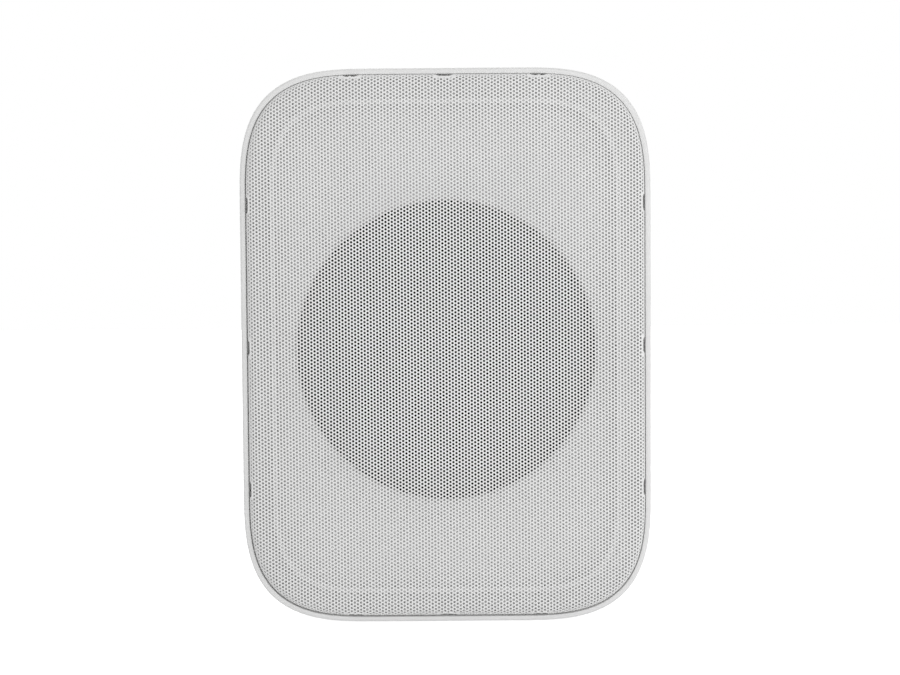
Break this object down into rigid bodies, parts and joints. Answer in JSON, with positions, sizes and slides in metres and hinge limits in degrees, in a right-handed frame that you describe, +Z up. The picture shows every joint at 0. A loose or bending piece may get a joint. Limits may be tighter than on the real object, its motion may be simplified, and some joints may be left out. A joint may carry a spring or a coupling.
{
  "type": "public address wall speaker",
  "caption": "White surface-mounted public address loudspeaker: moulded cabinet with rounded corners, full-face perforated steel grille, dual-cone driver and line transformer inside.",
  "frame": {"origin": "centre of the flat rear face, which lies on the wall", "axes": "+Z up the speaker's height, +Y out of the back into the wall, -Y the way the grille faces, +X to the right seen from the front"},
  "size_m": [0.2, 0.105, 0.27],
  "materials": {
    "white_moulding": "fine textured moulding",
    "white_powder_coat": "satin powder coat",
    "foam_rubber": "closed-cell foam",
    "zinc_screw": "zinc plated",
    "black_screw": "black oxide",
    "black_basket_paint": "satin black",
    "surround_rubber": "matt",
    "black_paper": "pressed paper pulp",
    "former_paper": "brown kraft paper",
    "copper_wire": "enamelled copper",
    "spider_cloth": "resin-dipped cloth",
    "zinc_steel": "zinc plated",
    "ferrite": "ground ferrite",
    "phenolic_board": "phenolic laminate",
    "tinned_brass": "tinned",
    "lamination_steel": "varnished stack",
    "bobbin_nylon": "natural nylon",
    "winding_tape": "polyester tape",
    "block_plastic": "green polyamide",
    "lead_sleeve": "red PVC insulation"
  },
  "bodies": {
    "cabinet": {"rear_cabinet": "white_moulding", "front_baffle": "white_moulding", "grille": "white_powder_coat", "cabinet_seal": "foam_rubber", "cabinet_screws": "zinc_screw", "driver_gasket": "foam_rubber", "basket": "black_basket_paint", "surround": "surround_rubber", "spider": "spider_cloth", "top_plate": "zinc_steel", "ring_magnet": "ferrite", "yoke": "zinc_steel", "driver_terminal": "phenolic_board", "driver_tags": "tinned_brass", "driver_screws": "black_screw", "transformer_core": "lamination_steel", "transformer_bobbin": "bobbin_nylon", "transformer_winding": "winding_tape", "transformer_frame": "zinc_steel", "transformer_screws": "zinc_screw", "terminal_block": "block_plastic", "clamp_screws": "zinc_screw", "block_tags": "tinned_brass", "block_screws": "zinc_screw", "line_leads": "lead_sleeve", "driver_leads": "lead_sleeve"},
    "cone_assembly": {"cone": "black_paper", "whizzer_cone": "black_paper", "dust_cap": "black_paper", "coil_former": "former_paper", "coil_winding": "copper_wire"}
  },
  "joints": [
    {"name": "cone_travel", "type": "slide", "parent": "cabinet", "child": "cone_assembly", "axis": [0, -1, 0], "range_m": [-0.003, 0.003], "stiffness_N_per_m": 2000, "deforming": ["surround", "spider"]}
  ]
}
